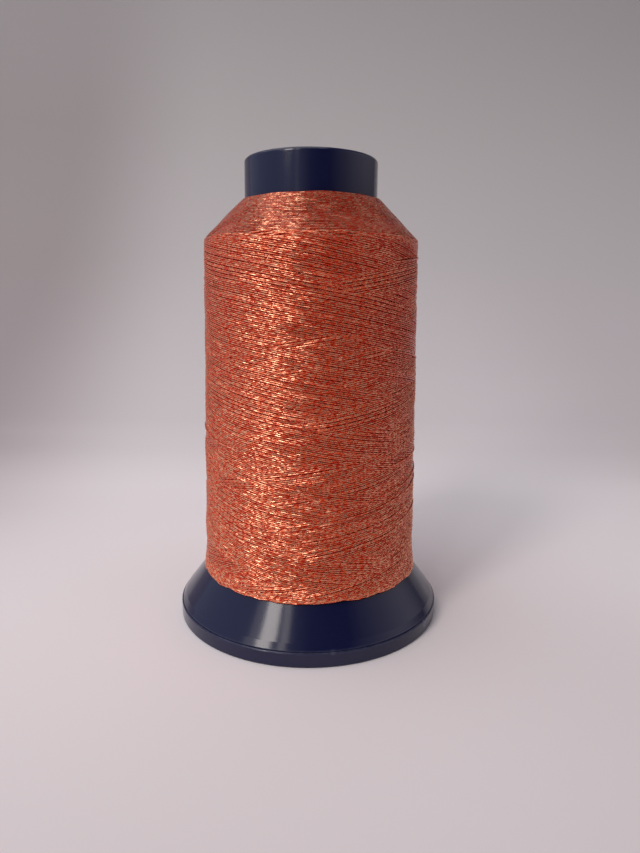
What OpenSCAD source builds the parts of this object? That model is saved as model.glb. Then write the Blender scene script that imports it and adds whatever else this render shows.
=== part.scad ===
// Cross-wound spool of metallic thread on a two-piece snap spool, in millimetres.
// The base pulls down from the flange and opens a groove that holds the end of the thread.
// The origin is the centre of the base's underside, and +Z runs up the spool's axis.

/* [Base] */
// Outside diameter of the base's rim, the widest size of the spool
base_d = 65; // [60:0.5:76]
// Height of the rim
rim_h = 3.4; // [2.6:0.1:4.5]
// Thickness of the rim's wall
rim_wall = 1.6; // [1.2:0.1:2.4]
// Thickness of the flat web inside the rim
web_t = 1.4; // [1:0.1:1.8]
// Number of stiffening ribs under the web
base_ribs = 8; // [4:1:12]
// Thickness of the stiffening ribs under the web
base_rib_t = 1; // [0.8:0.1:1.6]
// Distance from the ribs' lower edge to the surface that the rim stands on
rib_lift = 0.6; // [0.3:0.1:1]
// Rounding of the rim's outer edges
rim_round = 0.3; // [0.1:0.05:0.6]
// Width of the notch where the thread enters the lock groove
notch_w = 1; // [0.6:0.1:2]
// Depth of the V-shaped notch into the rim's face
notch_depth = 0.8; // [0.4:0.1:1.2]
// Height of the notch below the rim's top edge
notch_h = 1.5; // [0.8:0.1:2]
// Direction of the thread notch round the axis, from +X
notch_angle = -32.5; // [-180:0.5:180]

/* [Snap] */
// Travel of the base from closed to open
travel = 3; // [2:0.25:3.5]
// Gap of the closed parting line between the base and the flange
seam = 0.05; // [0.05:0.05:0.3]
// Radial gap between the base's spigot and the barrel's tube
slide_gap = 0.25; // [0.15:0.05:0.4]
// Height of the spigot above the web
spigot_h = 14; // [13:0.5:17]
// Thickness of the spigot's wall
spigot_wall = 1.4; // [1.1:0.1:1.8]
// Number of spring fingers in the spigot
fingers = 4; // [3:1:5]
// Width of each spring finger
finger_w = 7; // [5:0.5:8]
// Length of each spring finger, from the spigot's top
finger_h = 11; // [9.5:0.5:12]
// Width of the slit on each side of a finger
slit_w = 1; // [0.8:0.1:1.4]
// Height of the hook at each finger's tip
hook_h = 2.2; // [1.6:0.1:2.8]
// Reach of each hook past the spigot's face
hook_reach = 1.2; // [0.8:0.1:1.5]
// Gap round each hook in its window
hook_gap = 0.3; // [0.2:0.05:0.5]
// Gap left between the hooks and the windows' lower edges at the open stop
stop_gap = 0.05; // [0.02:0.01:0.1]

/* [Barrel] */
// Height of the whole spool
spool_h = 108.6; // [104:0.5:126]
// Outside diameter of the collar and of the winding tube below it
collar_d = 30.8; // [29:0.2:36]
// Wall thickness of the tube and the flange
wall = 1.6; // [1.3:0.1:2]
// Rounding of the collar's top edge
lip_round = 0.7; // [0.2:0.1:0.75]
// Slope of the conical flange above the horizontal
flange_angle = 52.5; // [47:0.5:57]
// Step from the rim's face in to the flange's foot
ledge = 0.25; // [0.1:0.05:0.6]
// Width of the steeper bevel at the flange's foot
bevel_w = 0.95; // [0.5:0.05:1.5]
// Height of the steeper bevel at the flange's foot
bevel_h = 1.55; // [1:0.05:2.2]
// Lead-in chamfer at the tube's mouth
lead_in = 0.5; // [0.3:0.1:0.8]

/* [Spindle hub] */
// Diameter of the hub's hole, which turns on the stand's pin
hub_bore_d = 12; // [8:0.5:14]
// Wall thickness of the hub
hub_wall = 1.5; // [1.2:0.1:2]
// Length of the hub
hub_h = 10; // [6:0.5:14]
// Depth of the end web below the collar's top edge
end_recess = 1.2; // [0.6:0.1:3]
// Thickness of the end web
end_web_t = 1.5; // [1.2:0.1:2]
// Number of ribs between the hub and the tube
hub_ribs = 4; // [3:1:6]
// Thickness of the hub's ribs
hub_rib_t = 1.1; // [0.8:0.1:1.6]
// Distance that the hub stands out below its ribs
rib_step = 2; // [1:0.5:3]

/* [Winding] */
// Diameter of the winding at its lower edge
package_low_d = 52.4; // [48:0.2:56]
// Diameter of the winding at its shoulder
package_high_d = 50.2; // [46:0.2:54]
// Height of the shoulder above the spool's foot
shoulder_h = 90.8; // [84:0.2:94]
// Height at which the winding meets the collar
package_top_h = 99.8; // [97:0.2:101]
// Thickness of the wound end against the collar
end_step = 0.5; // [0.3:0.1:1]
// Rounding of the winding's shoulder
shoulder_round = 1.25; // [0.5:0.25:4]
// Rounding of the winding's lower edge
edge_round = 0.2; // [0.1:0.1:0.8]
// Diameter of the thread
thread_d = 0.4; // [0.35:0.05:0.6]
// Loops of the outermost pass, half on the way up and half on the way down
loops = 24; // [16:4:24]
// Clear gap between the two strokes where they cross
cross_gap = 0.48; // [0.45:0.01:0.6]
// Distance of the outermost pass from the winding's ends
end_margin = 1.4; // [1:0.1:2.5]
// Direction of the first crossing round the axis, from +X
cross_angle = -90; // [-180:5:180]

/* [Hidden] */

plastic_colour = [0.11, 0.14, 0.27];
core_colour = [0.62, 0.24, 0.17];
thread_colour = [0.80, 0.45, 0.33];

round_fn = 96;
corner_steps = 5;
// Rounding in the root between the flange and the tube, which the winding fills
root_round = 0.4;
// Overlap that joins the solids of one moulding, and reach of a cut past what it cuts
merge = 0.2;
cut = 1;

base_r = base_d / 2;
rim_in_r = base_r - rim_wall;
web_z = rim_h - web_t;

tube_r = collar_d / 2;
tube_in_r = tube_r - wall;
foot_z = rim_h + seam;
foot_r = base_r - ledge;
cone_r = foot_r - bevel_w;
cone_z = foot_z + bevel_h;
// Radial and upright thickness of a wall that follows the flange's slope
wall_across = wall / sin(flange_angle);
wall_up = wall / cos(flange_angle);

spigot_r = tube_in_r - slide_gap;
throat_r = spigot_r - spigot_wall;
spigot_z = rim_h + spigot_h;
hook_z = spigot_z - hook_h;

hub_bore_r = hub_bore_d / 2;
hub_r = hub_bore_r + hub_wall;
end_z = spool_h - end_recess;
hub_z = end_z - hub_h;

thread_r = thread_d / 2;
package_low_r = package_low_d / 2;
package_high_r = package_high_d / 2;
// The core stays one thread under the winding's outside, where the outermost pass lies
core_low_r = package_low_r - thread_d;
core_high_r = package_high_r - thread_d;
core_top_z = package_top_h - thread_d;

// Height of the flange's slope at a radius
function flange_z(r) = cone_z + (cone_r - r) * tan(flange_angle);

// The points of an arc that rounds corner b, between a and c, to radius b[2]
function corner(a, b, c) =
  let (
    p = [b.x, b.y],
    u = unit([a.x, a.y] - p),
    v = unit([c.x, c.y] - p),
    half = acos(u * v) / 2,
    centre = p + unit(u + v) * b[2] / sin(half),
    turn = 180 - 2 * half,
    start = p + u * b[2] / tan(half) - centre,
    way = sign(u.x * v.y - u.y * v.x)
  )
  b[2] == 0 ? [p] : [for (i = [0:corner_steps]) centre + turned(start, -way * turn * i / corner_steps)];

function unit(v) = v / norm(v);
function turned(v, a) = [v.x * cos(a) - v.y * sin(a), v.x * sin(a) + v.y * cos(a)];

// An outline from corners given as [radius from the axis, height, rounding]
module outline(corners) {
  n = len(corners);
  polygon([for (i = [0:n - 1]) each corner(corners[(i + n - 1) % n], corners[i], corners[(i + 1) % n])]);
}

module turned_solid(corners) {
  rotate_extrude($fn = round_fn) outline(corners);
}

// Blocks that stand round the axis, one for each place, from radius r0 to r1 and from height z0 to z1
module spokes(count, width, r0, r1, z0, z1) {
  for (i = [0:count - 1])
    rotate(360 * i / count)
      translate([r0, -width / 2, z0])
        cube([r1 - r0, width, z1 - z0]);
}

// --- Barrel: collar, winding tube and flange in one moulding, with the hub inside its top ---

module barrel_shell() {
  turned_solid([
    [foot_r, foot_z, 0.15],
    [cone_r, cone_z, 0.6],
    [tube_r, flange_z(tube_r), root_round],
    [tube_r, spool_h, lip_round],
    [tube_in_r, spool_h, lip_round],
    [tube_in_r, foot_z + lead_in, 0],
    [tube_in_r + lead_in, foot_z, 0],
    [tube_r, foot_z, 0],
    [tube_r, flange_z(tube_r) - wall_up, 0.5],
    [cone_r - wall_across, cone_z, 0],
    [foot_r - wall_across, foot_z, 0]
  ]);
}

module hub() {
  turned_solid([
    [hub_bore_r, hub_z, 0],
    [hub_r, hub_z, 0],
    [hub_r, end_z - end_web_t, 0.4],
    [tube_in_r + merge, end_z - end_web_t, 0],
    [tube_in_r + merge, end_z, 0],
    [hub_bore_r, end_z, 0]
  ]);
  spokes(hub_ribs, hub_rib_t, hub_r - merge, tube_in_r + merge, hub_z + rib_step, end_z - end_web_t / 2);
}

// The windows let each hook travel from closed to open, and stop it there
module hook_windows() {
  spokes(
    fingers, finger_w + 2 * hook_gap, tube_in_r - cut, tube_r + cut,
    hook_z - travel - stop_gap, spigot_z + hook_gap
  );
}

module barrel() {
  color(plastic_colour)
    difference() {
      union() {
        barrel_shell();
        hub();
      }
      hook_windows();
    }
}

// --- Snap base: rim, web and ribs, and a spigot whose fingers end in hooks ---

module base_shell() {
  turned_solid([
    [rim_in_r, 0, 0],
    [base_r, 0, rim_round],
    [base_r, rim_h, rim_round],
    [spigot_r, rim_h, 0],
    [spigot_r, spigot_z, 0.3],
    [throat_r, spigot_z, 0.3],
    [throat_r, web_z, 0],
    [rim_in_r, web_z, 0.3]
  ]);
}

// The hooks' ring: flat below, where it catches, and sloped above, where it is pushed in
module hook_ring() {
  turned_solid([
    [spigot_r - spigot_wall / 2, hook_z, 0],
    [spigot_r + hook_reach, hook_z, 0],
    [spigot_r + hook_reach, hook_z + hook_h / 3, 0],
    [spigot_r - spigot_wall / 2, spigot_z, 0]
  ]);
}

module finger_slits() {
  for (i = [0:fingers - 1], side = [-1, 1])
    rotate(360 * i / fingers)
      translate([throat_r - cut, side * (finger_w + slit_w) / 2 - slit_w / 2, spigot_z - finger_h])
        cube([spigot_wall + 2 * cut + hook_reach, slit_w, finger_h + cut]);
}

// A V that is notch_w wide at the rim's face, carried on past it
module thread_notch() {
  mouth = notch_w / 2 * (notch_depth + cut) / notch_depth;
  rotate(notch_angle)
    translate([base_r - notch_depth, 0, rim_h - notch_h])
      linear_extrude(notch_h + cut)
        polygon([[0, 0], [notch_depth + cut, -mouth], [notch_depth + cut, mouth]]);
}

module snap_base() {
  color(plastic_colour)
    difference() {
      union() {
        base_shell();
        intersection() {
          hook_ring();
          spokes(fingers, finger_w, throat_r, spigot_r + hook_reach + cut, hook_z - cut, spigot_z + cut);
        }
        spokes(base_ribs, base_rib_t, throat_r + spigot_wall, rim_in_r + merge, rib_lift, web_z + merge);
      }
      finger_slits();
      thread_notch();
    }
}

// --- Thread package: every layer under the outermost pass, seated on the tube and the flange ---

module thread_package() {
  color(core_colour)
    turned_solid([
      [tube_r, flange_z(tube_r), root_round],
      [core_low_r, flange_z(core_low_r), edge_round],
      [core_high_r, shoulder_h, shoulder_round],
      [tube_r + end_step, core_top_z, 0.3],
      [tube_r, core_top_z, 0]
    ]);
}

// --- Outer thread: one unbroken pass up the package and down again, crossing itself ---

rings_per_loop = 24;
tube_sides = 6;
// Rows of the pass: its lowest and highest loop on the core's outside
pass_low_z = flange_z(core_low_r) + end_margin;
pass_high_z = core_top_z - end_margin;
shoulder_slope = atan2(core_high_r - tube_r - end_step, core_top_z - shoulder_h);
// Stretch of height over which the surface turns from the side to the shoulder
shoulder_blend = 2;
// The second stroke rises over the first where the two cross, at two places in each loop
cross_lift = thread_d + cross_gap;
// Radius of the bend where the thread dives into the package, and its straight run after that
dive_bend = 1.5 * thread_d;
dive_run = 1.5 * thread_d;

// Radius of the core's outside at a height
function core_r(z) =
  z < shoulder_h
    ? lookup(z, [[flange_z(core_low_r), core_low_r], [shoulder_h, core_high_r]])
    : lookup(z, [[shoulder_h, core_high_r], [core_top_z, tube_r + end_step]]);

// Angle of the outward direction above the horizontal, at a height
function core_tilt(z) =
  lookup(z, [[shoulder_h - shoulder_blend, 0], [shoulder_h + shoulder_blend, shoulder_slope]]);

// A point at angle a round the axis, over the core's outside at height z, and off it by the given distance
function over_core(a, z, off) =
  let (r = core_r(z) + off * cos(core_tilt(z)))
  [r * cos(a), r * sin(a), z + off * sin(core_tilt(z))];

// Height of the pass after t loops: up at a steady rate, and down again
function pass_z(t) = pass_low_z + (pass_high_z - pass_low_z) * (1 - abs(2 * t / loops - 1));

// Share of the lift after t loops: none on the way up, and a hump over each crossing on the way down.
// The humps start a quarter loop after the turn at the top.
function lift_share(t) = t < loops / 2 + 0.25 ? 0 : max(0, cos(720 * t));

function pass_off(t) = thread_r + cross_lift * lift_share(t);

// The bend and straight run that carry an end of the pass into the package, from the surface inwards
function dive(t, way) =
  let (
    z = pass_z(t),
    a = cross_angle + 360 * t,
    per_mm = 180 / PI / core_r(z)
  )
  [
    for (bend = [30, 60, 90])
      over_core(a + way * per_mm * dive_bend * sin(bend), z, pass_off(t) - dive_bend * (1 - cos(bend))),
    over_core(a + way * per_mm * dive_bend, z, pass_off(t) - dive_bend - dive_run)
  ];

// The pass ends a quarter loop short of where it began, clear of its own start
pass_end = loops - 0.25;
pass_route = [
  for (p = reversed(dive(0, -1))) p,
  for (i = [0:pass_end * rings_per_loop])
    let (t = i / rings_per_loop)
    over_core(cross_angle + 360 * t, pass_z(t), pass_off(t)),
  for (p = dive(pass_end, 1)) p
];

function reversed(list) = [for (i = [len(list) - 1:-1:0]) list[i]];

// The corners of a ring round point i of a route, square to the route there
function ring(route, i) =
  let (
    ahead = unit(route[min(i + 1, len(route) - 1)] - route[max(i - 1, 0)]),
    out = unit(cross(ahead, [0, 0, 1])),
    up = cross(out, ahead)
  )
  [for (k = [0:tube_sides - 1]) route[i] + thread_r * (out * cos(360 * k / tube_sides) + up * sin(360 * k / tube_sides))];

// A closed tube along a route, of triangles
module thread_tube(route) {
  n = tube_sides;
  last = (len(route) - 1) * n;
  points = [for (i = [0:len(route) - 1]) each ring(route, i)];
  sides = [
    for (i = [0:len(route) - 2], k = [0:n - 1])
      let (a = i * n + k, b = i * n + (k + 1) % n)
      each [[a, b, a + n], [b, b + n, a + n]]
  ];
  caps = [for (k = [1:n - 2]) each [[0, k + 1, k], [last, last + k, last + k + 1]]];
  polyhedron(points, concat(sides, caps));
}

// Least distance between points of a route that are more than half a loop apart along it, less the thread
function least_gap(route) =
  let (apart = rings_per_loop / 2)
  min([for (i = [0:len(route) - 1 - apart], j = [i + apart:len(route) - 1]) norm(route[i] - route[j])]) - thread_d;

module outer_thread() {
  echo(least_gap_mm = least_gap(pass_route));
  color(thread_colour) thread_tube(pass_route);
}

barrel();
snap_base();
thread_package();
outer_thread();
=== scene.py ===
import math
import bpy
import numpy as np
from mathutils import Matrix


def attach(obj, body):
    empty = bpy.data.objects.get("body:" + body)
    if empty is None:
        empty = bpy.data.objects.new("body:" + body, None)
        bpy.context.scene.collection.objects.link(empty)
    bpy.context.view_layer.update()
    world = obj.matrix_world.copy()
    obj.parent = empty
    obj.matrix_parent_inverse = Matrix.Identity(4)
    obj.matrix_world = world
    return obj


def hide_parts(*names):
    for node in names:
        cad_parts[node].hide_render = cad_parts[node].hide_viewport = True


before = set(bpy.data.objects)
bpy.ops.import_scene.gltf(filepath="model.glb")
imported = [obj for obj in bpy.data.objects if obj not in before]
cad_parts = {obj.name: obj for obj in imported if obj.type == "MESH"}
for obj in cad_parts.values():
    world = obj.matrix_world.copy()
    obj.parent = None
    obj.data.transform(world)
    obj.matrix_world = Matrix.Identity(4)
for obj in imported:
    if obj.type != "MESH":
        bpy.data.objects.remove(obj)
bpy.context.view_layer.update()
mm = 0.001               # in metres
print("frame loaded:", ", ".join(sorted(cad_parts)))

mixShare, mixFrom, mixTo, mixed = 0, 6, 7, 2    # the sockets of a Mix node that mixes colours


def toLinear(hexColour, brightness=1.0):
    # sRGB hex to linear red, green, blue and alpha: a straight line near black and a power curve above it
    channels = [int(hexColour[i:i + 2], 16) / 255 for i in (1, 3, 5)]
    linear = (c / 12.92 if c <= 0.04045 else ((c + 0.055) / 1.055) ** 2.4 for c in channels)
    return tuple(c * brightness for c in linear) + (1.0,)


def addNode(tree, kind, settings=None, inputs=None):
    # a shader node with its settings, and its inputs as values or as other nodes' sockets
    node = tree.nodes.new(kind)
    for name, value in (settings or {}).items():
        setattr(node, name, value)
    for name, value in (inputs or {}).items():
        if isinstance(value, bpy.types.NodeSocket):
            tree.links.new(value, node.inputs[name])
        else:
            node.inputs[name].default_value = value
    return node


def addRamp(tree, factor, stops):
    # a colour for each factor from 0 to 1, from stops of position and hex colour
    ramp = addNode(tree, "ShaderNodeValToRGB", inputs={"Fac": factor})
    while len(ramp.color_ramp.elements) < len(stops):
        ramp.color_ramp.elements.new(1.0)
    for element, (position, colour) in zip(ramp.color_ramp.elements, stops):
        element.position, element.color = position, toLinear(colour)
    return ramp


def newMaterial(name):
    # a material with an empty node tree, and that tree
    material = bpy.data.materials.new(name)
    material.use_nodes = True
    material.node_tree.nodes.clear()
    return material, material.node_tree


def addObject(name, data):
    # an object at the origin that shows this mesh, camera or light
    made = bpy.data.objects.new(name, data)
    bpy.context.scene.collection.objects.link(made)
    return made


def turnTo(made, side, up, back, place):
    # turns an object's x, y and z axes to three directions and moves it to a place in metres
    axes = np.eye(4)
    axes[:3, 0], axes[:3, 1], axes[:3, 2], axes[:3, 3] = side, up, back, place
    made.matrix_world = Matrix(axes.tolist())


def meshFromFaces(name, points, corners, sizes, cornerUvs, material):
    # a smooth mesh from its points in mm, the point and UV at each corner of its faces, and the corners of
    # each face
    mesh = bpy.data.meshes.new(name)
    mesh.vertices.add(points.size // 3)
    mesh.vertices.foreach_set("co", (points * mm).astype(np.float32).ravel())
    mesh.loops.add(len(corners))
    mesh.loops.foreach_set("vertex_index", corners.astype(np.int32))
    mesh.polygons.add(len(sizes))
    starts = np.concatenate([[0], np.cumsum(sizes)[:-1]])
    mesh.polygons.foreach_set("loop_start", starts.astype(np.int32))
    mesh.polygons.foreach_set("use_smooth", np.ones(len(sizes), bool))
    mesh.uv_layers.new(name="UVMap").data.foreach_set("uv", cornerUvs.astype(np.float32).ravel())
    mesh.materials.append(material)
    mesh.update(calc_edges=True)
    mesh.validate()
    return addObject(name, mesh)


def meshFromGrid(name, points, uvs, closedAcross, material):
    # points: rows x columns x 3, in mm. Each quad joins two rows and two columns.
    # uvs: rows x (columns + 1 where closed) x 2. A closed grid's first and last rows get a cap.
    rows, columns = points.shape[:2]
    index = np.arange(rows * columns).reshape(rows, columns)
    if closedAcross:
        index = np.concatenate([index, index[:, :1]], axis=1)
    quads, quadUvs = (np.stack([grid[:-1, :-1], grid[:-1, 1:], grid[1:, 1:], grid[1:, :-1]], axis=2)
                      for grid in (index, uvs))
    corners, cornerUvs, sizes = quads.ravel(), quadUvs.reshape(-1, 2), np.full(quads.size // 4, 4)
    if closedAcross:
        corners = np.concatenate([corners, index[0, -2::-1], index[-1, :-1]])
        cornerUvs = np.concatenate([cornerUvs, uvs[0, -2::-1], uvs[-1, :-1]])
        sizes = np.concatenate([sizes, [columns, columns]])
    return meshFromFaces(name, points, corners, sizes, cornerUvs, material)


def meshFromRing(name, points, uvs, material):
    # a grid that is closed both ways: its last row joins the first, and its last column the first
    rows, columns = points.shape[:2]
    index = np.arange(rows * columns).reshape(rows, columns)
    ahead, across = np.roll(index, -1, axis=0), np.roll(index, -1, axis=1)
    corners = np.stack([index, ahead, np.roll(ahead, -1, axis=1), across], axis=2).ravel()
    sizes = np.full(rows * columns, 4)
    return meshFromFaces(name, points, corners, sizes, uvs.reshape(-1, 2)[corners], material)


camera = {
    "pictureHeight": 853,   # px
    "focalLength": 635.0,   # px
    "distance": 155.7,      # mm from the spool's axis
    "height": 76.6,         # mm above the table
    "down": 11.0,           # degrees
    "right": 0.945,         # degrees, turned to the spool's right
    "roll": 0.52,           # degrees, anticlockwise
    "sensor": 36.0,         # mm, along the picture's long side
    "nearest": 5.0,         # mm to the closest thing that it shows
}


def makeCamera(c):
    # its line of sight is turned right and down from straight ahead, and the other axes are rolled round it
    down, right, roll = (math.radians(c[k]) for k in ("down", "right", "roll"))
    level = np.array([math.cos(right), -math.sin(right), 0.0])
    forward = np.array([math.sin(right) * math.cos(down), math.cos(right) * math.cos(down), -math.sin(down)])
    above = np.cross(level, forward)
    lens = bpy.data.cameras.new("camera")
    lens.sensor_width = c["sensor"]
    lens.lens = c["focalLength"] / c["pictureHeight"] * lens.sensor_width
    lens.clip_start = c["nearest"] * mm
    made = addObject("camera", lens)
    turnTo(made, math.cos(roll) * level + math.sin(roll) * above,
           math.cos(roll) * above - math.sin(roll) * level, -forward,
           np.array([0.0, -c["distance"], c["height"]]) * mm)
    bpy.context.scene.camera = made


makeCamera(camera)
print("camera placed")

plastic = {
    "navy": "#161a3d",
    "roughness": (0.11, 0.16),      # of its smoothest and its roughest specks
    "ior": 1.49,
    "peel": 1.6,            # mm between the low waves of the moulded skin
    "peelBump": (0.25, 0.02),       # how strongly they show, and their height in mm
    "speck": 0.16,          # mm, drawn as coarse as it needs to show
    "speckBump": (0.2, 0.004),
    "paleWearAndLight": "#9aa0ba",      # stress-whitened skin, and the colour of the painted light
    # where the skin is paler: the notch, worn and with painted light that lifts the shade inside it, and a
    # scuff; each one's middle in mm, its reach in mm, and how strongly it shows
    "wearAndPaintedLight": (((27.15, -17.25, 2.3), 1.0, 0.9), ((5.3, -32.05, 3.5), 0.9, 0.08)),
    # painted light along the parting line's lips, over the seam's shade and in place of its edge highlight:
    # its height in mm, its reach in mm, and how strongly it shows
    "seamPaintedLight": (3.44, 0.5, 0.11),
    "fade": 3,              # a pale place shows in full within its reach divided by this
}


def mouldedPolystyrene(p):
    # high-impact polystyrene, injection moulded in a polished tool: deep even colour under a satin skin,
    # which is paler where it is worn, with painted light in the notch and along the parting line
    material, tree = newMaterial("mouldedPolystyrene")
    where = addNode(tree, "ShaderNodeTexCoord").outputs["Object"]
    peel = addNode(tree, "ShaderNodeTexNoise", inputs={
        "Vector": where, "Scale": 1 / (p["peel"] * mm), "Detail": 2.0, "Roughness": 0.5})
    speck = addNode(tree, "ShaderNodeTexNoise", inputs={
        "Vector": where, "Scale": 1 / (p["speck"] * mm), "Detail": 3.0, "Roughness": 0.6})
    rough = addNode(tree, "ShaderNodeMapRange", inputs={
        "Value": speck.outputs["Fac"], "From Min": 0.3, "From Max": 0.7,
        "To Min": p["roughness"][0], "To Max": p["roughness"][1]})
    low = addNode(tree, "ShaderNodeBump", inputs={
        "Height": peel.outputs["Fac"], "Strength": p["peelBump"][0], "Distance": p["peelBump"][1] * mm})
    fine = addNode(tree, "ShaderNodeBump", inputs={
        "Height": speck.outputs["Fac"], "Strength": p["speckBump"][0],
        "Distance": p["speckBump"][1] * mm, "Normal": low.outputs["Normal"]})
    # each pale place, worn or painted light: the distance to it, its reach and strength, and how unevenly it
    # shows
    places = []
    for middle, reach, strength in p["wearAndPaintedLight"]:
        off = addNode(tree, "ShaderNodeVectorMath", {"operation": "DISTANCE"}, {
            0: where, 1: tuple(c * mm for c in middle)})
        places.append((off.outputs["Value"], reach, strength, 1.0))
    # painted light: a pale band along the parting line
    lipHeight, lipReach, lipStrength = p["seamPaintedLight"]
    height = addNode(tree, "ShaderNodeSeparateXYZ", inputs={"Vector": where}).outputs["Z"]
    above = addNode(tree, "ShaderNodeMath", {"operation": "SUBTRACT"}, {0: height, 1: lipHeight * mm})
    fromLips = addNode(tree, "ShaderNodeMath", {"operation": "ABSOLUTE"}, {0: above.outputs[0]})
    places.append((fromLips.outputs[0], lipReach, lipStrength, peel.outputs["Fac"]))
    colour = toLinear(p["navy"])
    for distance, reach, strength, uneven in places:
        paleWearAndLight = addNode(tree, "ShaderNodeMapRange", {"interpolation_type": "SMOOTHSTEP"}, {
            "Value": distance, "From Min": reach * mm, "From Max": reach * mm / p["fade"],
            "To Max": strength})
        share = addNode(tree, "ShaderNodeMath", {"operation": "MULTIPLY"}, {
            0: paleWearAndLight.outputs["Result"], 1: uneven})
        colour = addNode(tree, "ShaderNodeMix", {"data_type": "RGBA"}, {
            mixShare: share.outputs[0], mixFrom: colour, mixTo: toLinear(p["paleWearAndLight"])}).outputs[mixed]
    shader = addNode(tree, "ShaderNodeBsdfPrincipled", inputs={
        "Base Color": colour, "IOR": p["ior"],
        "Roughness": rough.outputs["Result"], "Normal": fine.outputs["Normal"]})
    addNode(tree, "ShaderNodeOutputMaterial", inputs={"Surface": shader.outputs["BSDF"]})
    return material


thread = {
    "diameter": 0.37,       # mm
    "foil": "#ffb48a",      # copper foil, lit
    "foilDeep": "#f06636",  # the same foil where its lacquer is thicker
    "edgeTint": "#ffc8a4",  # what the foil reflects at a glancing angle
    "core": "#c01b06",      # the dyed core thread between the foil's turns
    "wrap": 3.2,            # mm of thread in one turn of the foil
    "wrapDrift": (0.35, 3.0),       # how often in 1 mm of thread the wrap drifts, and by how many turns
    "strip": (-0.95, -0.5),         # levels of the wrap's wave where the foil starts and where it is full
    "outer": (-0.35, -0.80),        # and of the wave round the thread where its upper outer face does; the dark core round the rest of the thread is painted shade between threads
    "upward": 0.09,         # turns round the thread from its outermost line up to the middle of that face
    "tones": (0.8, 0.40, 0.58),     # how often in 1 mm its lacquer varies, and the noise where deep and pale
    "facet": 2.4,           # mm along the thread between creases of the foil
    "facetsRound": 2.0,     # creases round it
    "tilt": (0.42, 0.42, 0.24),     # how far a crease turns the foil's face, mostly along the thread
    "roughness": (0.38, 0.20),      # of the deep foil, and of the pale foil
    "metal": (0.40, 0.92),          # how metallic each of them is under its lacquer
    "lacquer": 0.32,        # roughness of the foil's clear lacquer
    "lacquered": 0.8,       # how much of the foil it covers
    "shoulderPaintedShade": 0.72,         # painted shade: how much darker the thread's colours are where its turning places lie in the shoulder
}


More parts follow.
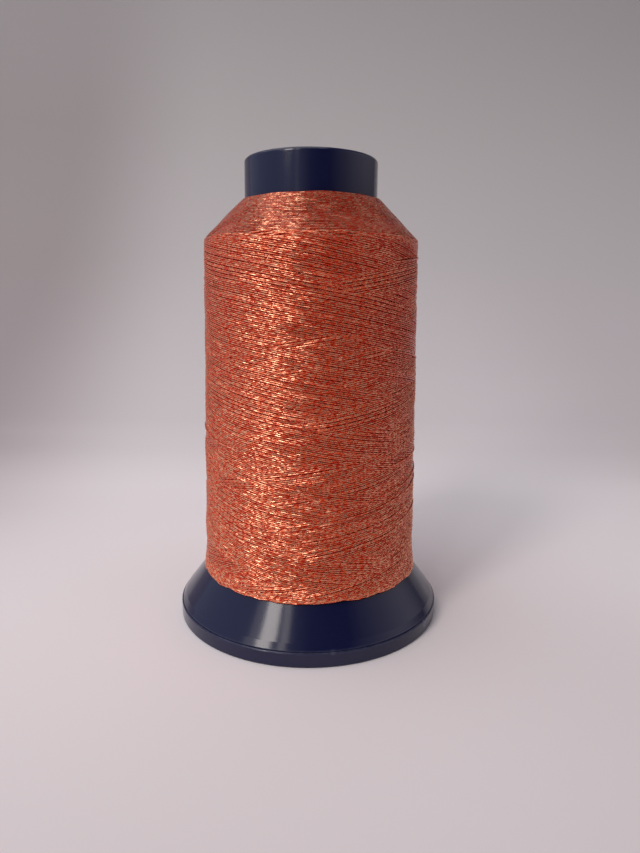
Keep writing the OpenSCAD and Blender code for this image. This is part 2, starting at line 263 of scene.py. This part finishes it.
def foilThread(name, t, brightness):
    # polyester thread wrapped in a spiral of copper foil: creased metal dashes with dark dyed thread between
    material, tree = newMaterial(name)
    uv = addNode(tree, "ShaderNodeUVMap", {"uv_map": "UVMap"}).outputs["UV"]
    split = addNode(tree, "ShaderNodeSeparateXYZ", inputs={"Vector": uv})
    # the wrap is a wave along the thread and round it, whose pace drifts
    drift = addNode(tree, "ShaderNodeTexNoise", {"noise_dimensions": "1D"}, {
        "W": split.outputs["X"], "Scale": t["wrapDrift"][0], "Detail": 1.0})
    turns = addNode(tree, "ShaderNodeMath", {"operation": "MULTIPLY_ADD"}, {
        0: split.outputs["X"], 1: -1 / t["wrap"], 2: split.outputs["Y"]})
    phase = addNode(tree, "ShaderNodeMath", {"operation": "MULTIPLY_ADD"}, {
        0: drift.outputs["Fac"], 1: t["wrapDrift"][1], 2: turns.outputs[0]})
    angle = addNode(tree, "ShaderNodeMath", {"operation": "MULTIPLY"}, {0: phase.outputs[0], 1: 2 * math.pi})
    wave = addNode(tree, "ShaderNodeMath", {"operation": "SINE"}, {0: angle.outputs[0]})
    # the foil shows only on the thread's upper outer face, so the dark core on its sides and underside is
    # painted shade between neighbouring threads
    turnedOut = addNode(tree, "ShaderNodeMath", {"operation": "MULTIPLY_ADD"}, {
        0: split.outputs["Y"], 1: 2 * math.pi, 2: -2 * math.pi * t["upward"]})
    outward = addNode(tree, "ShaderNodeMath", {"operation": "COSINE"}, {0: turnedOut.outputs[0]})
    face = addNode(tree, "ShaderNodeMapRange", {"interpolation_type": "SMOOTHSTEP"}, {
        "Value": outward.outputs[0], "From Min": t["outer"][0], "From Max": t["outer"][1]})
    strip = addNode(tree, "ShaderNodeMapRange", inputs={
        "Value": wave.outputs[0], "From Min": t["strip"][0], "From Max": t["strip"][1]})
    foil = addNode(tree, "ShaderNodeMath", {"operation": "MULTIPLY"}, {
        0: strip.outputs["Result"], 1: face.outputs["Result"]})
    # where its lacquer is deep or pale, its colour, metal and roughness change together
    tone = addNode(tree, "ShaderNodeTexNoise", {"noise_dimensions": "1D"}, {
        "W": split.outputs["X"], "Scale": t["tones"][0], "Detail": 0.5})
    foilTone = addNode(tree, "ShaderNodeMapRange", inputs={
        "Value": tone.outputs["Fac"], "From Min": t["tones"][1], "From Max": t["tones"][2]})
    # painted shade: a brightness below 1 scales every colour of the thread darker
    foilColour = addNode(tree, "ShaderNodeMix", {"data_type": "RGBA"}, {
        mixShare: foilTone.outputs["Result"], mixFrom: toLinear(t["foilDeep"], brightness),
        mixTo: toLinear(t["foil"], brightness)})
    colour = addNode(tree, "ShaderNodeMix", {"data_type": "RGBA"}, {
        mixShare: foil.outputs[0], mixFrom: toLinear(t["core"], brightness),
        mixTo: foilColour.outputs[mixed]})
    metalTone = addNode(tree, "ShaderNodeMapRange", inputs={
        "Value": foilTone.outputs["Result"], "To Min": t["metal"][0], "To Max": t["metal"][1]})
    metal = addNode(tree, "ShaderNodeMath", {"operation": "MULTIPLY"}, {
        0: foil.outputs[0], 1: metalTone.outputs["Result"]})
    rough = addNode(tree, "ShaderNodeMapRange", inputs={
        "Value": foilTone.outputs["Result"], "To Min": t["roughness"][0], "To Max": t["roughness"][1]})
    # each facet between creases leans its own way
    creaseAt = addNode(tree, "ShaderNodeMapping", inputs={
        "Vector": uv, "Scale": (1 / t["facet"], t["facetsRound"], 1.0)})
    crease = addNode(tree, "ShaderNodeTexVoronoi", {"voronoi_dimensions": "2D"}, {
        "Vector": creaseAt.outputs["Vector"], "Scale": 1.0})
    lean = addNode(tree, "ShaderNodeVectorMath", {"operation": "SUBTRACT"}, {
        0: crease.outputs["Color"], 1: (0.5, 0.5, 0.5)})
    leanMore = addNode(tree, "ShaderNodeVectorMath", {"operation": "MULTIPLY"}, {
        0: lean.outputs["Vector"], 1: t["tilt"]})
    smooth = addNode(tree, "ShaderNodeNewGeometry").outputs["Normal"]
    turned = addNode(tree, "ShaderNodeVectorMath", {"operation": "ADD"}, {
        0: smooth, 1: leanMore.outputs["Vector"]})
    normal = addNode(tree, "ShaderNodeVectorMath", {"operation": "NORMALIZE"}, {0: turned.outputs["Vector"]})
    coat = addNode(tree, "ShaderNodeMath", {"operation": "MULTIPLY"}, {
        0: foil.outputs[0], 1: t["lacquered"]})
    shader = addNode(tree, "ShaderNodeBsdfPrincipled", inputs={
        "Base Color": colour.outputs[mixed], "Metallic": metal.outputs[0],
        "Specular Tint": toLinear(t["edgeTint"]), "Specular IOR Level": 0.5,
        "Roughness": rough.outputs["Result"], "Normal": normal.outputs["Vector"],
        "Coat Weight": coat.outputs[0], "Coat Roughness": t["lacquer"],
        "Coat Normal": normal.outputs["Vector"]})
    addNode(tree, "ShaderNodeOutputMaterial", inputs={"Surface": shader.outputs["BSDF"]})
    return material


layersBelow = {
    "dashes": 0.6,          # how often in 1 mm along the thread its glints vary
    "glints": (0.35, 0.7),  # the levels of the noise where the dyed thread ends, and where all is foil
    "roughness": 0.6,
    "metal": 0.3,
}


def dyedThreadBed(t, b):
    # the layers below, seen only through gaps: close dark thread with dull glints
    material, tree = newMaterial("dyedThreadBed")
    uv = addNode(tree, "ShaderNodeUVMap", {"uv_map": "UVMap"}).outputs["UV"]
    across = addNode(tree, "ShaderNodeMapping", inputs={
        "Vector": uv, "Scale": (b["dashes"], 1 / t["diameter"], 1.0)})
    dashes = addNode(tree, "ShaderNodeTexNoise", inputs={
        "Vector": across.outputs["Vector"], "Scale": 1.0, "Detail": 2.0})
    share = addNode(tree, "ShaderNodeMapRange", inputs={
        "Value": dashes.outputs["Fac"], "From Min": b["glints"][0], "From Max": b["glints"][1]})
    colour = addNode(tree, "ShaderNodeMix", {"data_type": "RGBA"}, {
        mixShare: share.outputs["Result"], mixFrom: toLinear(t["core"]), mixTo: toLinear(t["foilDeep"])})
    shader = addNode(tree, "ShaderNodeBsdfPrincipled", inputs={
        "Base Color": colour.outputs[mixed], "Roughness": b["roughness"], "Metallic": b["metal"]})
    addNode(tree, "ShaderNodeOutputMaterial", inputs={"Surface": shader.outputs["BSDF"]})
    return material


plasticMaterial = mouldedPolystyrene(plastic)
threadMaterial = foilThread("foilThread", thread, 1.0)
# the shoulder's copy of the thread, with painted shade: the same colours made darker
shoulderShadedMaterial = foilThread("shadedFoilThread", thread, thread["shoulderPaintedShade"])
bedMaterial = dyedThreadBed(thread, layersBelow)
for node in ("barrel", "snap_base"):
    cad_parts[node].material_slots[0].material = plasticMaterial
print("materials made")

package = {
    "sideRise": 3,          # mm that an edge of its section rises by, where the side begins
    "sideTurnsIn": -0.35,   # mm outwards in each mm along the section, where the side ends
    # the lowest turns bulge out over the flange: mm out along the flange, and mm up the side
    "bulge": ((1.2, 0.0), (0.8, 1.2), (0.45, 3.5), (0.15, 8.0)),
    "slopeReach": 0.6,      # mm each way over which its slope is taken
    "fuller": 0.12,         # mm by which the winding is fuller on the spool's right than round the middle
    "cover": 0.4,           # mm of its depth that the outer threads take up
    "steps": 180,           # round the bed under them
    "row": 1.5,             # mm, the most between rows of that bed
}


def packageSection(node):
    # the section of the package, as the convex hull of its vertices' radius and height, in mm.
    # It runs from the lowest point up the outside to the top, and back down the inside.
    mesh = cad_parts[node].data
    flat = np.empty(len(mesh.vertices) * 3, np.float32)
    mesh.vertices.foreach_get("co", flat)
    xyz = flat.reshape(-1, 3).astype(float) / mm
    spots = np.column_stack([xyz[:, 2], np.hypot(xyz[:, 0], xyz[:, 1])])
    spots = np.unique(np.round(spots, 2), axis=0)
    nearlyStraight = -1e-6

    def chain(ordered):
        kept = []
        for spot in ordered:
            while len(kept) > 1:
                a, b = kept[-1] - kept[-2], spot - kept[-2]
                if a[0] * b[1] - a[1] * b[0] < nearlyStraight:
                    break
                kept.pop()
            kept.append(spot)
        return np.array(kept)[:, ::-1]
    return chain(spots), chain(spots[::-1])


def crossing(a, b, c, d):
    # where the line through a and b crosses the line through c and d
    along = np.linalg.solve(np.column_stack([b - a, c - d]), c - a)[0]
    return a + along * (b - a)


outside, inside = packageSection("thread_package")
# the threads follow the side right down to the flange, past the rounding of the package's lower edge
sideFrom = int(np.argmax(np.diff(outside[:, 1]) > package["sideRise"]))
# the flange's line is the edge of the inside that falls furthest on its way out
flangeFrom = int(np.argmax(-np.diff(inside[:, 1]) * (np.diff(inside[:, 0]) > 0)))
toe = crossing(outside[sideFrom], outside[sideFrom + 1], inside[flangeFrom], inside[flangeFrom + 1])
upSide, downFlange = outside[sideFrom + 1] - toe, inside[flangeFrom + 1] - inside[flangeFrom]
upSide, downFlange = upSide / np.linalg.norm(upSide), downFlange / np.linalg.norm(downFlange)
bulge = [toe + out * downFlange + up * upSide for out, up in package["bulge"]]
profile = np.vstack([*bulge, outside[sideFrom + 2:]])
profileStep = np.hypot(*np.diff(profile, axis=0).T)
profileAlong = np.concatenate([[0.0], np.cumsum(profileStep)])   # mm along the outside, from the flange up
turnsIn = np.diff(profile[:, 0]) / profileStep < package["sideTurnsIn"]
sideEnd, topEnd = float(profileAlong[np.argmax(turnsIn)]), float(profileAlong[-1])
sideRadius = float(np.interp(sideEnd / 2, profileAlong, profile[:, 0]))
loopLength = 2 * math.pi * sideRadius


def overPackage(azimuth, along, off):
    # a point at an azimuth, so far along the package's outside and so far off it, in mm
    def spot(at):
        return np.array([np.interp(at, profileAlong, values) for values in profile.T])

    radius, height = spot(along)
    run, rise = spot(along + package["slopeReach"]) - spot(along - package["slopeReach"])
    length = np.hypot(run, rise)
    off = off + package["fuller"] * np.cos(azimuth)
    r = radius + off * rise / length
    z = height - off * run / length
    return np.stack([r * np.cos(azimuth), r * np.sin(azimuth), z], axis=-1)


def softPattern(rng, count, turnWaves, waveLength):
    # a smooth random pattern over the package, about -1 to 1: a sum of waves, each with a whole number to the
    # turn, between two limits, and its own slant, and none shorter along the package than waveLength
    fewest, most = turnWaves
    waves = [(rng.integers(fewest, most + 1), rng.uniform(-1, 1) * 2 * math.pi / waveLength,
              rng.uniform(0, 2 * math.pi)) for _ in range(count)]

    def pattern(azimuth, along):
        return sum(np.cos(n * azimuth + k * along + phase) for n, k, phase in waves) / math.sqrt(2 * count)
    return pattern


def ringPattern(rng, waves):
    # a smooth random pattern round the package: waves of 1, 2, 3 ... to the turn, the long ones strongest
    sizes = rng.uniform(0.6, 1.0, waves) / np.sqrt(np.arange(1, waves + 1))
    phases = rng.uniform(0, 2 * math.pi, waves)
    sizes /= math.sqrt(np.sum(sizes ** 2) / 2)

    def pattern(azimuth):
        return sum(size * np.cos(n * azimuth + phase)
                   for n, (size, phase) in enumerate(zip(sizes, phases), 1))
    return pattern


def sweptThread(name, azimuth, along, off, sides, start, turned, material):
    # a tube carried along one path: each ring lies square to it, with one axis away from the package.
    # Its foil is turned round it by a share of a turn.
    path = overPackage(azimuth, along, off)
    ahead = np.gradient(path, axis=0)
    ahead /= np.linalg.norm(ahead, axis=1, keepdims=True)
    outward = path * [1.0, 1.0, 0.0]
    outward -= np.sum(outward * ahead, axis=1, keepdims=True) * ahead
    outward /= np.linalg.norm(outward, axis=1, keepdims=True)
    upward = np.cross(ahead, outward)
    turn = math.pi + np.arange(sides) * 2 * math.pi / sides   # the UV seam faces the package
    ring = (np.cos(turn)[:, None] * outward[:, None, :] + np.sin(turn)[:, None] * upward[:, None, :])
    points = path[:, None, :] + ring * thread["diameter"] / 2
    travelled = start + np.concatenate([[0.0], np.cumsum(np.linalg.norm(np.diff(path, axis=0), axis=1))])
    around = np.arange(sides + 1) / sides
    around = around if azimuth[-1] < azimuth[0] else 1 - around   # v rises from the outermost line up
    uvs = np.stack(np.broadcast_arrays(travelled[:, None], turned + around[None, :]), axis=-1)
    return meshFromGrid(name, points, uvs, True, material)


def softLeast(a, b, blend):
    # the lesser of two heights, rounded where they meet
    return -blend * np.logaddexp(-a / blend, -b / blend)


def sunkEnds(count, rings, depth):
    # how far the first and last rings of a path sink into the package, so that its ends don't show
    fromEnd = np.minimum(np.arange(count), count - 1 - np.arange(count))
    return depth * np.clip(1 - fromEnd / rings, 0, 1)


winding = {
    "seed": 11,             # of every thread's random draws
    "angle": 10.0,          # degrees of each stroke from level
    "spacing": 0.41,        # mm between neighbouring strokes
    "parts": 2,             # pieces that its one path is cut into
    "ringsPerLoop": 64,
    "sides": 6,
    "fromFlange": 0.3,      # mm from the flange up to the lowest turning place
    "pastSide": 0.4,        # mm from the side's end on to the highest one
    "ease": 0.25,           # mm over which a stroke levels out before it turns back
    "turnShare": 0.04,      # share of a stroke, at each end, over which it comes back to the package
    "endSpread": 1.6,       # mm by which the turning places differ at the shoulder
    "lowSpread": 0.6,       # the share of that by which they differ at the flange
    "wander": 0.12,         # mm by which neighbouring threads stray together from their line
    "stray": 0.05,          # mm by which each one strays alone
    "swell": 0.14,          # mm by which the package is uneven
    # their waves: how many, how many of them to the turn, and the shortest along the package in mm
    "wanderWaves": (8, (1, 9), 18.0),
    "swellWaves": (12, (4, 18), 9.0),
    "underside": -0.02,     # mm from the package's outside to the underside of the strokes on top
    "step": 0.15,           # mm by which the strokes on top lie higher, and those under them lower
    "sharpness": 2.5,       # how quickly a stroke passes from over to under
    "patches": 0.6,         # how much the bundles of strokes decide which is on top
    "favour": (-0.6, 1.1, -1.85),   # what up-strokes gain everywhere, to the spool's right, and upwards
    "bundleWaves": 7,
    "patchSeed": 4297,
    "loose": 0.02,          # mm by which single strokes stand out
    "sunk": (20, 0.6),      # rings at each end that sink among the others, and how deep in mm
}


def crossWinding(name, w, rng):
    # one unbroken thread that goes up and down the side at a steady turn, each stroke beside an earlier one.
    # The height is a triangle wave of the stroke count, cut off softly where it turns back. Up-strokes keep
    # one helix angle u = azimuth - height / slope, and down-strokes keep v = azimuth + height / slope.
    # A pattern of u less a pattern of v says which of the two is on top, which makes the patches of a
    # cross winding.
    low, high = w["fromFlange"], sideEnd + w["pastSide"]
    # it comes round to each start once, because the shift from one to the next shares no factor with them
    starts = int(loopLength * math.sin(math.radians(w["angle"])) / w["spacing"])
    doubleTurns = 2 * (high - low) / (loopLength * math.tan(math.radians(w["angle"])))
    shift = round((doubleTurns % 1) * starts)
    while math.gcd(shift, starts) > 1:
        shift += 1
    turnsPerStroke = (math.floor(doubleTurns) + shift / starts) / 2
    count = int(2 * starts * turnsPerStroke * w["ringsPerLoop"])
    stroke = np.linspace(0, 2 * starts * (1 - 1e-6), count)   # it ends just before a stroke too many begins
    number = np.floor(stroke).astype(int)
    share = stroke - number
    goingUp = number % 2 == 0
    lows = low + w["lowSpread"] * w["endSpread"] * rng.uniform(0, 1, starts + 1)
    highs = high - w["endSpread"] * rng.uniform(0, 1, starts)
    along = low + (high - low) * np.where(goingUp, share, 1 - share)
    along = softLeast(along, highs[number // 2], w["ease"])
    along = -softLeast(-along, -lows[(number + 1) // 2], w["ease"])
    azimuth = 2 * math.pi * turnsPerStroke * stroke + rng.uniform(0, 2 * math.pi)
    slope = 2 * math.pi * turnsPerStroke / (high - low)
    patchRng = np.random.default_rng(w["patchSeed"])
    upBundles, downBundles = (ringPattern(patchRng, w["bundleWaves"]) for _ in range(2))
    everywhere, toRight, upwards = w["favour"]
    favour = everywhere + toRight * np.cos(azimuth) + upwards * (along / sideEnd - 0.5)
    bundles = upBundles(azimuth - along * slope) - downBundles(azimuth + along * slope)
    over = np.tanh(w["sharpness"] * (w["patches"] * bundles + favour))
    wander = softPattern(rng, *w["wanderWaves"])
    single = rng.normal(0, 1, 2 * starts)[number]
    swell = softPattern(rng, *w["swellWaves"])
    along = np.clip(along + w["wander"] * wander(azimuth, along) + w["stray"] * single, 0, topEnd)
    fromTurn = np.clip(np.minimum(share, 1 - share) / w["turnShare"], 0, 1)
    rise = w["step"] * (np.where(goingUp, over, -over) - 1) + w["swell"] * swell(azimuth, along)
    rise += w["loose"] * single
    off = thread["diameter"] / 2 + w["underside"] + rise * fromTurn - sunkEnds(count, *w["sunk"])
    cuts = np.linspace(0, count - 1, w["parts"] + 1).astype(int)
    return [sweptThread(f"{name}{i + 1}", azimuth[a:b + 1], along[a:b + 1], off[a:b + 1], w["sides"],
                        a * loopLength / w["ringsPerLoop"], 0.0, threadMaterial)
            for i, (a, b) in enumerate(zip(cuts[:-1], cuts[1:]))]


shoulder = {
    # each spiral's way round, and mm from the package's outside to its underside
    "spirals": ((1, -0.2), (-1, -0.28)),
    "spacing": 0.46,        # mm between neighbouring loops
    "fromSideEnd": 1.6,     # mm from the side's end down to the lowest loop
    "fromTop": 0.1,         # mm from the package's top edge to the highest one
    "sway": 0.6,            # mm by which a loop rises and falls on its way round
    "bundle": 0.13,         # mm by which loops lie over and under each other
    # their waves: how many, how many of them to the turn, and the shortest along the package in mm
    "swayWaves": (5, (1, 3), 30.0),
    "bundleWaves": (14, (2, 12), 7.0),
    "calm": (2.0, 0.1),     # mm from each end over which the loops sway less, and the share left right at it
    "fill": 0.26,           # mm by which the shoulder is fuller at its top
    "ringsPerLoop": 56,
    "sides": 6,
    "turned": 0.13,         # turns round the thread by which its foil, and the painted shade round it, faces lower than on the side
    "sunk": (20, 0.6),      # rings at each end that sink among the others, and how deep in mm
}
patternShift = 500          # mm, the most that a thread's foil is moved along it, so that no two are alike


def shoulderWinding(name, s, rng, way, underside):
    # the turning places of many strokes: a spiral of almost level loops that climbs the shoulder and sways
    low, high = sideEnd - s["fromSideEnd"], topEnd - s["fromTop"]
    loops = (high - low) / s["spacing"]
    count = int(loops * s["ringsPerLoop"])
    loop = np.linspace(0, loops, count)
    azimuth = 2 * math.pi * loop * way + rng.uniform(0, 2 * math.pi)
    level = low + (high - low) * loop / loops
    sway = softPattern(rng, *s["swayWaves"])
    over = softPattern(rng, *s["bundleWaves"])
    calmReach, calmLeast = s["calm"]
    ends = np.clip(np.minimum(level - low, high - level) / calmReach, calmLeast, 1)
    along = np.clip(level + s["sway"] * ends * sway(azimuth, level), low, high)
    off = thread["diameter"] / 2 + underside + s["bundle"] * way * over(azimuth, along)
    off = off - sunkEnds(count, *s["sunk"]) + s["fill"] * loop / loops
    return sweptThread(name, azimuth, along, off, s["sides"], rng.uniform(0, patternShift), s["turned"],
                       shoulderShadedMaterial)


strays = {
    "lift": 0.36,           # mm from the package's outside to a stray thread's middle
    "sides": 6,
    "ring": 1.2,            # mm between rings
    "fewestRings": 24,
    "sway": (0.25, 9),      # mm that it sways by, and mm along it in which that changes
    "sunk": (5, 0.35),      # rings at each end that sink among the others, and how deep in mm
    # each one: azimuth of its middle in degrees from the front, height along the side in mm, degrees from
    # level, and length in mm
    "threads": ((50, 21.7, 9.5, 60), (62, 25.0, 9.5, 36), (64, 30.2, 5.0, 26), (60, 16.2, 9.0, 28),
                (65, 75.0, 8.0, 22), (62, 54.0, -9.0, 26), (-68, 35.5, -10.0, 26), (170, 50.0, 9.5, 70),
                (120, 22.0, -9.5, 50), (-140, 66.0, 10.5, 60)),
}


def strayThread(name, s, rng, middle, level, angle, length):
    # one thread that lies across the others: a short helix, whose ends sink among them
    count = max(s["fewestRings"], int(length / s["ring"]))
    travel = np.linspace(-length / 2, length / 2, count)
    slope = math.radians(angle)
    azimuth = math.radians(middle - 90) + travel * math.cos(slope) / sideRadius
    swayBy, swayIn = s["sway"]
    sway = swayBy * np.sin(travel / swayIn + rng.uniform(0, 6))
    along = np.clip(level + travel * math.sin(slope) + sway, winding["fromFlange"], sideEnd)
    off = s["lift"] - sunkEnds(count, *s["sunk"])
    return sweptThread(name, azimuth, along, off, s["sides"], rng.uniform(0, patternShift), 0.0,
                       threadMaterial)


def windingBed(name, p):
    # the package under its outer threads: its own section turned round the axis, a closed ring
    ahead = np.gradient(outside, axis=0)
    inward = np.column_stack([-ahead[:, 1], ahead[:, 0]]) / np.linalg.norm(ahead, axis=1, keepdims=True)
    under = outside[1:-1] + p["cover"] * inward[1:-1]
    closed = np.vstack([outside[:1], under, outside[-1:], inside[1:-1], outside[:1]])
    reached = np.concatenate([[0.0], np.cumsum(np.hypot(*np.diff(closed, axis=0).T))])
    rows = np.unique(np.concatenate([reached, np.arange(0, reached[-1], p["row"])]))[:-1]
    radius, height = np.interp(rows, reached, closed[:, 0]), np.interp(rows, reached, closed[:, 1])
    azimuth = np.linspace(0, 2 * math.pi, p["steps"], endpoint=False)[:, None]
    across, deep = radius * np.cos(azimuth), radius * np.sin(azimuth)
    points = np.stack(np.broadcast_arrays(across, deep, height), axis=-1)
    around = np.linspace(0, loopLength, p["steps"], endpoint=False)[:, None]
    uvs = np.stack(np.broadcast_arrays(around, rows), axis=-1)
    return meshFromRing(name, points, uvs, bedMaterial)


seeds = np.random.default_rng(winding["seed"])
bed = windingBed("windingBed", package)
outer = crossWinding("outerThread", winding, seeds)
shoulders = [shoulderWinding(f"shoulderThread{i}", shoulder, seeds, *spiral)
             for i, spiral in enumerate(shoulder["spirals"], 1)]
stray = [strayThread(f"strayThread{i}", strays, seeds, *facts)
         for i, facts in enumerate(strays["threads"], 1)]
for piece in [bed, *outer, *shoulders, *stray]:
    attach(piece, "spool_body")
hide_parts("thread_package")
for piece in outer:
    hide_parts("outer_thread")
print("winding made:", sum(len(p.data.polygons) for p in [*outer, *shoulders, *stray]), "faces")

stage = {
    # its colour from the floor up, darker higher up: painted shade where the light falls off up the sweep
    "paper": ((0.0, "#f8f1f3"), (0.004, "#f8f1f3"), (0.014, "#f0e9eb"), (0.022, "#eae3e5"),
              (0.033, "#e7e0e2"), (0.047, "#e2dbdd"), (0.081, "#e0d9db"), (0.13, "#dcd5d7"),
              (0.33, "#d0cacb"), (0.68, "#c6c1c1"), (1.0, "#beb9ba")),
    "paperTop": 330.0,      # mm, the height of its last colour
    # painted shade at the paper's sides and front: the axes it spreads along, with where it starts and is
    # full in mm, its colour, and how much of it shows from the floor up
    "shades": (
        ((("X", -80, -200),), "#c4bdbe",
         ((0.0, "#525252"), (0.03, "#cbcbcb"), (0.13, "#ededed"), (0.33, "#e0e0e0"), (0.68, "#cbcbcb"),
          (1.0, "#959595"))),
        ((("X", -60, -200), ("Y", -20, 80)), "#c4bdbe",
         ((0.0, "#ffffff"), (0.022, "#eeeeee"), (0.035, "#c6c6c6"), (0.063, "#b4b4b4"), (0.13, "#595959"),
          (0.4, "#000000"))),
        ((("X", 80, 200),), "#e0dbdc",
         ((0.0, "#b0b0b0"), (0.008, "#e6e6e6"), (0.022, "#dadada"), (0.05, "#bababa"), (0.13, "#a6a6a6"),
          (0.33, "#545454"), (0.6, "#000000"))),
        ((("Y", 0, -120),), "#ebe9e9", ((0.0, "#ffffff"), (0.05, "#000000"))),
        ((("X", 20, 90), ("Y", 20, -50)), "#f8f6f6", ((0.0, "#ffffff"), (0.05, "#000000")))),
    "nearEdge": -400.0, "leftEdge": -600.0, "rightEdge": 400.0,     # mm
    "bendStart": 70.0, "bendRadius": 380.0, "bendRows": 31, "top": 460.0,
}


def backdropPaper(s):
    # heavy uncoated paper: matt, with hardly any sheen, and painted shade that darkens it slowly up it and to
    # its sides
    material, tree = newMaterial("backdropPaper")
    where = addNode(tree, "ShaderNodeTexCoord").outputs["Object"]
    split = addNode(tree, "ShaderNodeSeparateXYZ", inputs={"Vector": where})
    up = addNode(tree, "ShaderNodeMapRange", inputs={
        "Value": split.outputs["Z"], "From Max": s["paperTop"] * mm})
    colour = addRamp(tree, up.outputs["Result"], s["paper"]).outputs["Color"]
    # each entry is painted shade, multiplied into the paper's colour
    for spreads, tone, stops in s["shades"]:
        share = addRamp(tree, up.outputs["Result"], stops).outputs["Color"]
        for axis, start, full in spreads:
            reach = addNode(tree, "ShaderNodeMapRange", {"interpolation_type": "SMOOTHSTEP"}, {
                "Value": split.outputs[axis], "From Min": start * mm, "From Max": full * mm})
            share = addNode(tree, "ShaderNodeMath", {"operation": "MULTIPLY"}, {
                0: share, 1: reach.outputs["Result"]}).outputs[0]
        colour = addNode(tree, "ShaderNodeMix", {"data_type": "RGBA", "blend_type": "MULTIPLY"}, {
            mixShare: share, mixFrom: colour, mixTo: toLinear(tone)}).outputs[mixed]
    shader = addNode(tree, "ShaderNodeBsdfPrincipled", inputs={
        "Base Color": colour, "Roughness": 0.9, "Specular IOR Level": 0.1})
    addNode(tree, "ShaderNodeOutputMaterial", inputs={"Surface": shader.outputs["BSDF"]})
    return material


def makeStage(s):
    # a sheet of paper swept from the table up the wall: a line, a quarter circle and a line, drawn sideways
    bend = np.radians(np.linspace(0, 90, s["bendRows"]))
    y = np.concatenate([[s["nearEdge"]], s["bendStart"] + s["bendRadius"] * np.sin(bend),
                        [s["bendStart"] + s["bendRadius"]]])
    z = np.concatenate([[0.0], s["bendRadius"] * (1 - np.cos(bend)), [s["top"]]])
    x = np.array([s["leftEdge"], s["rightEdge"]])
    points = np.stack(np.broadcast_arrays(x[None, :], y[:, None], z[:, None]), axis=-1)
    sweep = meshFromGrid("backdrop", points, points[..., :2] * mm, False, backdropPaper(s))


# each one: degrees round from the spool's front and up from level, how far away, how wide and how high in
# mm, how bright, and its colour
lamps = {
    "window": {"azimuth": -39.6, "elevation": 34, "distance": 1000, "width": 200, "height": 600,
               "radiance": 8.2, "colour": "#fff6ef"},
    "curtain": {"azimuth": -51, "elevation": 34, "distance": 1000, "width": 190, "height": 600,
                "radiance": 0.9, "colour": "#fff6ef"},
    "sidePane": {"azimuth": -23.6, "elevation": 34, "distance": 1000, "width": 100, "height": 600,
                 "radiance": 2.3, "colour": "#fff6ef"},
    "ceiling": {"azimuth": -80, "elevation": 75, "distance": 1200, "width": 1300, "height": 1300,
                "radiance": 0.92, "colour": "#ffffff"},
}
lampsFace = 55.0            # mm above the table, on the spool's axis


def makeLamp(name, facts):
    # a flat panel that faces the spool; its power follows from its brightness and its area
    azimuth, elevation = math.radians(facts["azimuth"]), math.radians(facts["elevation"])
    back = np.array([math.sin(azimuth) * math.cos(elevation), -math.cos(azimuth) * math.cos(elevation),
                     math.sin(elevation)])
    side = np.array([math.cos(azimuth), math.sin(azimuth), 0.0])
    light = bpy.data.lights.new(name, "AREA")
    light.shape = "RECTANGLE"
    light.size, light.size_y = facts["width"] * mm, facts["height"] * mm
    light.color = toLinear(facts["colour"])[:3]
    light.energy = facts["radiance"] * math.pi * light.size * light.size_y
    turnTo(addObject(name, light), side, np.cross(back, side), back,
           np.array([0.0, 0.0, lampsFace]) * mm + back * facts["distance"] * mm)


room = {
    # the light from far left (0) by the middle (0.5) to far right (1), up to the horizon and well above it
    "low": ((0.08, "#a4a8b4"), (0.27, "#a0a3ac"), (0.3, "#ffffff"), (0.33, "#a0a0a4"), (0.5, "#464448"),
            (0.64, "#302e32"), (1.0, "#4e484e")),
    "high": ((0.08, "#b0b4c0"), (0.33, "#a0a3ac"), (0.5, "#464448"), (0.62, "#262428"), (0.76, "#2a282c"),
             (0.92, "#b4aeb6"), (1.0, "#f0e8f2")),
    "highFrom": 0.35,       # the height in a sphere of radius 1 from which it is all high light
    "overhead": (0.7, 0.95),        # the heights where more light starts to be added, and where it all is
    "added": 0.13,
}


def makeRoom(r):
    # soft light from all round: bright from the left, dim from the front, and bright again high on the right
    world = bpy.data.worlds.new("room")
    world.use_nodes = True
    tree = world.node_tree
    tree.nodes.clear()
    direction = addNode(tree, "ShaderNodeTexCoord").outputs["Generated"]
    split = addNode(tree, "ShaderNodeSeparateXYZ", inputs={"Vector": direction})
    across = addNode(tree, "ShaderNodeMapRange", inputs={"Value": split.outputs["X"], "From Min": -1.0})
    rise = addNode(tree, "ShaderNodeMapRange", {"interpolation_type": "SMOOTHSTEP"}, {
        "Value": split.outputs["Z"], "From Max": r["highFrom"]})
    light = addNode(tree, "ShaderNodeMix", {"data_type": "RGBA"}, {
        mixShare: rise.outputs["Result"],
        mixFrom: addRamp(tree, across.outputs["Result"], r["low"]).outputs["Color"],
        mixTo: addRamp(tree, across.outputs["Result"], r["high"]).outputs["Color"]})
    above = addNode(tree, "ShaderNodeMapRange", {"interpolation_type": "SMOOTHSTEP"}, {
        "Value": split.outputs["Z"], "From Min": r["overhead"][0], "From Max": r["overhead"][1],
        "To Max": r["added"]})
    total = addNode(tree, "ShaderNodeVectorMath", {"operation": "ADD"}, {
        0: light.outputs[mixed], 1: above.outputs["Result"]})
    shader = addNode(tree, "ShaderNodeBackground", inputs={"Color": total.outputs["Vector"]})
    addNode(tree, "ShaderNodeOutputWorld", inputs={"Surface": shader.outputs["Background"]})
    bpy.context.scene.world = world


makeStage(stage)
for lampName, lampFacts in lamps.items():
    makeLamp(lampName, lampFacts)
makeRoom(room)
bpy.context.scene.view_settings.view_transform = "Standard"
print("stage and light made")
